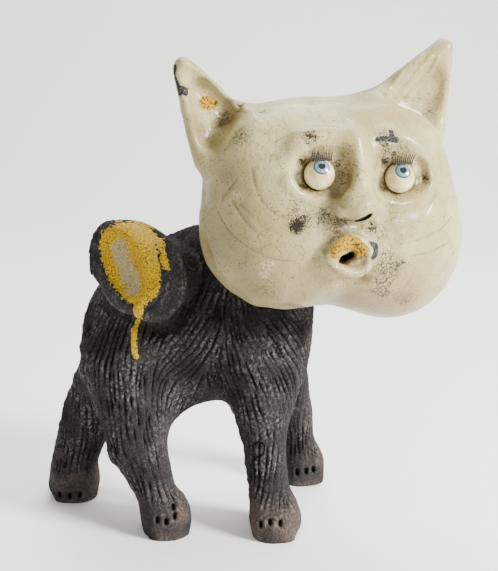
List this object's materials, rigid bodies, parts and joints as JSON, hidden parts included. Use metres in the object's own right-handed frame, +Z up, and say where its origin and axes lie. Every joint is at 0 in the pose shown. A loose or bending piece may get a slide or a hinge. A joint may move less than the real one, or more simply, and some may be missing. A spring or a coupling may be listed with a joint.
{
  "type": "raku cat sculpture",
  "caption": "Standing raku cat: smoked black clay body with combed fur and a dished gilt tail stump, under a broad crackle-glazed head with upright ears, doll eyes and lashes.",
  "frame": {"origin": "centre of the whole cat seen from above, on the plane of the soles", "axes": "+X the way the body walks, +Y towards the cat's own left and away from its face, +Z up; the face looks towards -Y"},
  "size_m": [0.2544, 0.1626, 0.2962],
  "materials": {
    "smoked_clay": "matt, carbon-black, combed and grogged",
    "crackle_glaze": "glossy cream-grey crackle glaze",
    "eye_enamel": "polished cream with a light blue iris",
    "lash_fibre": "brown bristle"
  },
  "bodies": {
    "root": {"body": "smoked_clay", "head": "crackle_glaze", "left_eye": "eye_enamel", "right_eye": "eye_enamel", "left_lashes": "lash_fibre", "right_lashes": "lash_fibre"}
  },
  "joints": []
}
